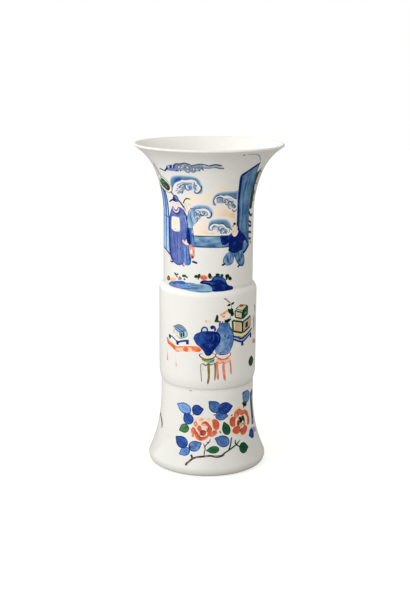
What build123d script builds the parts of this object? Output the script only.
from build123d import *
import os

# A porcelain vase in the form of a gu beaker: a trumpet mouth on a straight neck, a raised drum in the
# middle and a spreading foot. It is thrown in three sections that are joined with slip, then glazed.
# The vase stands on its foot ring at height 0, and its axis is Z. All sizes are in millimetres.

# The neck section, from the slip joint on the drum up to the underside of the lip
neck_height = 173.9
neck_radius = 57.35
neck_wall = 4.85
lip_wall = 2.6
mouth_overhang = 37.15  # the lip's lower edge stands out this far from the neck
flare_start_share = 0.507  # where the straight neck ends
bend_height_share = 0.813  # where the flare opens faster
bend_spread_share = 0.278

# The drum section
drum_height = 129.05
drum_step = 5.5  # the drum stands out this far from the neck
drum_wall = 5.85
shoulder_height = 9.1
shoulder_inset = 4.0
shoulder_wall_drop = 3.0  # the hollow starts to close this much lower than the outside
taper_height = 15.3
taper_inset = 3.05

# The foot section
foot_height = 111.1
waist_step = 0.35  # the foot's waist stands out this far from the drum's lower edge
waist_wall = 6.35
waist_height_share = 0.135  # the straight waist, as a share of the foot
foot_bend_height_share = 0.527
foot_bend_spread_share = 0.175
toe_spread = 16.0
toe_height = 12.9
toe_tuck = 5.6  # the rounded toe curves back in by this much before it meets the table
floor_thickness = 8.0
floor_corner_width = 10.5
floor_corner_height = 12.5
floor_corner_wall = 11.4  # the top of the floor's corner lies this far inside the toe
ring_width = 6.4
recess_depth = 5.5
recess_slope = 4.0  # the foot ring's inner side leans in by this much

# Slip joints and glaze
upper_lute_thickness = 1.2
cove_width_share = 0.8  # the upper ring's cove is this wide for its height
lower_lute_thickness = 2.0
groove_depth = 0.6
glaze_thickness = 0.35
bare_height = 2.0  # the glaze is wiped off the foot up to here
overrun = 3.0  # what cuts the glaze away passes it by this much

# Radii and heights that follow
drum_radius = neck_radius + drum_step
ledge_radius = drum_radius - shoulder_inset
drum_foot_radius = drum_radius - taper_inset
waist_radius = drum_foot_radius + waist_step
foot_bend_radius = waist_radius + toe_spread * foot_bend_spread_share
toe_radius = waist_radius + toe_spread
contact_radius = toe_radius - toe_tuck
ring_inside = contact_radius - ring_width
neck_bore = neck_radius - neck_wall
drum_bore = drum_radius - drum_wall
waist_bore = waist_radius - waist_wall
floor_bore = toe_radius - floor_corner_wall
mouth_radius = neck_radius + mouth_overhang

lower_lute_base = foot_height
drum_base = lower_lute_base + lower_lute_thickness
drum_top = drum_base + drum_height
neck_base = drum_top + upper_lute_thickness
mouth_height = neck_base + neck_height
flare_start = neck_base + neck_height * flare_start_share
bend_height = neck_base + neck_height * bend_height_share
bend_radius = neck_radius + mouth_overhang * bend_spread_share
waist_foot = foot_height * (1 - waist_height_share)
foot_bend_height = foot_height * foot_bend_height_share
floor_top = recess_depth + floor_thickness
floor_corner_top = floor_top + floor_corner_height

# Half sections: the first coordinate is the distance from the axis, the second is the height.

# The neck's outside: straight, then two arcs that open into the mouth, then the half-round lip
with BuildSketch() as neck_form:
    with BuildLine():
        neck_side = Line((neck_radius, neck_base), (neck_radius, flare_start))
        flare = TangentArc(neck_side @ 1, (bend_radius, bend_height), tangent=neck_side % 1)
        mouth = TangentArc(flare @ 1, (mouth_radius, mouth_height), tangent=flare % 1)
        across_wall = (mouth % 1).rotate(Axis.Z, 90)
        lip = TangentArc(mouth @ 1, mouth @ 1 + across_wall * lip_wall, tangent=mouth % 1)
        Polyline(lip @ 1, (0, (lip @ 1).Y), (0, neck_base), neck_side @ 0)
    make_face()

# The drum's outside: a straight side between a tapered lower edge and a rounded shoulder
with BuildSketch() as drum_form:
    with BuildLine():
        drum_side = Line((drum_radius, drum_base + taper_height), (drum_radius, drum_top - shoulder_height))
        taper = TangentArc(drum_side @ 0, (drum_foot_radius, drum_base), tangent=(0, -1))
        shoulder = TangentArc(drum_side @ 1, (ledge_radius, drum_top), tangent=drum_side % 1)
        Polyline(shoulder @ 1, (0, drum_top), (0, drum_base), taper @ 1)
    make_face()

# The foot's outside: a straight waist, two arcs that spread, and a rounded toe down to the foot ring.
# Under it the recess is cut up into the floor.
with BuildSketch() as foot_form:
    with BuildLine():
        waist_side = Line((waist_radius, foot_height), (waist_radius, waist_foot))
        spread = TangentArc(waist_side @ 1, (foot_bend_radius, foot_bend_height), tangent=waist_side % 1)
        sweep_out = TangentArc(spread @ 1, (toe_radius, toe_height), tangent=spread % 1)
        toe = TangentArc(sweep_out @ 1, (contact_radius, 0), tangent=sweep_out % 1)
        Polyline(
            toe @ 1,
            (ring_inside, 0),
            (ring_inside - recess_slope, recess_depth),
            (0, recess_depth),
            (0, foot_height),
            waist_side @ 0,
        )
    make_face()

# The hollow inside all three sections, from the floor up through the mouth
with BuildSketch() as hollow:
    with BuildLine():
        floor_line = Line((0, floor_top), (floor_bore - floor_corner_width, floor_top))
        floor_corner = TangentArc(floor_line @ 1, (floor_bore, floor_corner_top), tangent=floor_line % 1)
        foot_bore = TangentArc(floor_corner @ 1, (waist_bore, waist_foot), tangent=floor_corner % 1)
        waist_line = Line(foot_bore @ 1, (waist_bore, drum_base))
        drum_line = Line(
            (drum_bore, drum_base + taper_height),
            (drum_bore, drum_top - shoulder_height - shoulder_wall_drop),
        )
        TangentArc(drum_line @ 0, waist_line @ 1, tangent=(0, -1))
        shoulder_bore = TangentArc(drum_line @ 1, (neck_bore, drum_top), tangent=drum_line % 1)
        neck_line = Line(shoulder_bore @ 1, (neck_bore, flare_start))
        across_bend = (flare % 1).rotate(Axis.Z, 90)
        bend_wall = (neck_wall + lip_wall) / 2
        flare_bore = TangentArc(neck_line @ 1, flare @ 1 + across_bend * bend_wall, tangent=neck_line % 1)
        mouth_bore = TangentArc(flare_bore @ 1, lip @ 1, tangent=flare_bore % 1)
        above_lip = lip @ 1 + across_wall * overrun
        Polyline(mouth_bore @ 1, above_lip, (0, above_lip.Y), floor_line @ 0)
    make_face()

# The upper slip ring is wiped to a cove in the corner between ledge and neck. The lower one stays
# below the two edges that it joins, as a groove.
with BuildSketch() as upper_lute_form:
    with BuildLine():
        cove_radius = neck_radius + upper_lute_thickness * cove_width_share
        cove = TangentArc((neck_radius, neck_base), (cove_radius, drum_top), tangent=(0, -1))
        Polyline(cove @ 1, (0, drum_top), (0, neck_base), cove @ 0)
    make_face()

with BuildSketch() as lower_lute_form:
    with BuildLine():
        groove_radius = drum_foot_radius - groove_depth
        groove_side = Line((groove_radius, lower_lute_base), (groove_radius, drum_base))
        Polyline(groove_side @ 1, (0, drum_base), (0, lower_lute_base), groove_side @ 0)
    make_face()

# Each clay piece is its outside form less the hollow, turned about the axis
with BuildPart() as neck_section:
    with BuildSketch(Plane.XZ):
        add(neck_form)
        add(hollow, mode=Mode.SUBTRACT)
    revolve()
neck_section.part.label = "neck_section"

with BuildPart() as upper_lute:
    with BuildSketch(Plane.XZ):
        add(upper_lute_form)
        add(hollow, mode=Mode.SUBTRACT)
    revolve()
upper_lute.part.label = "upper_lute"

with BuildPart() as drum_section:
    with BuildSketch(Plane.XZ):
        add(drum_form)
        add(hollow, mode=Mode.SUBTRACT)
    revolve()
drum_section.part.label = "drum_section"

with BuildPart() as lower_lute:
    with BuildSketch(Plane.XZ):
        add(lower_lute_form)
        add(hollow, mode=Mode.SUBTRACT)
    revolve()
lower_lute.part.label = "lower_lute"

with BuildPart() as foot_section:
    with BuildSketch(Plane.XZ):
        add(foot_form)
        add(hollow, mode=Mode.SUBTRACT)
    revolve()
foot_section.part.label = "foot_section"

# The glaze is an even coat on the whole clay wall, less the wall itself. The half section ends at the
# axis, and the foot is bare from the table up to where the glaze was wiped off.
with BuildSketch() as clay_wall:
    for form in (neck_form, upper_lute_form, drum_form, lower_lute_form, foot_form):
        add(form)
    add(hollow, mode=Mode.SUBTRACT)

with BuildSketch() as glaze_coat:
    add(clay_wall)
    offset(amount=glaze_thickness)
    add(clay_wall, mode=Mode.SUBTRACT)
    with Locations((-overrun, 0)):
        Rectangle(overrun, mouth_height, align=(Align.MIN, Align.MIN), mode=Mode.SUBTRACT)

with BuildSketch() as foot_bare_zone:
    with Locations((ring_inside - recess_slope, -overrun)):
        Rectangle(toe_radius, overrun + bare_height, align=(Align.MIN, Align.MIN))

with BuildSketch() as recess_zone:
    Rectangle(ring_inside, recess_depth, align=(Align.MIN, Align.MIN))

with BuildPart() as outer_glaze:
    with BuildSketch(Plane.XZ):
        add(glaze_coat)
        add([hollow, foot_bare_zone, recess_zone], mode=Mode.SUBTRACT)
    revolve()
outer_glaze.part.label = "outer_glaze"

with BuildPart() as inner_glaze:
    with BuildSketch(Plane.XZ):
        add(glaze_coat)
        add(hollow, mode=Mode.INTERSECT)
    revolve()
inner_glaze.part.label = "inner_glaze"

with BuildPart() as base_glaze:
    with BuildSketch(Plane.XZ):
        add(glaze_coat)
        add(recess_zone, mode=Mode.INTERSECT)
        add(foot_bare_zone, mode=Mode.SUBTRACT)
    revolve()
base_glaze.part.label = "base_glaze"

os.makedirs("parts", exist_ok=True)
export_step(neck_section.part, "parts/neck_section.step")
export_step(upper_lute.part, "parts/upper_lute.step")
export_step(drum_section.part, "parts/drum_section.step")
export_step(lower_lute.part, "parts/lower_lute.step")
export_step(foot_section.part, "parts/foot_section.step")
export_step(outer_glaze.part, "parts/outer_glaze.step")
export_step(inner_glaze.part, "parts/inner_glaze.step")
export_step(base_glaze.part, "parts/base_glaze.step")
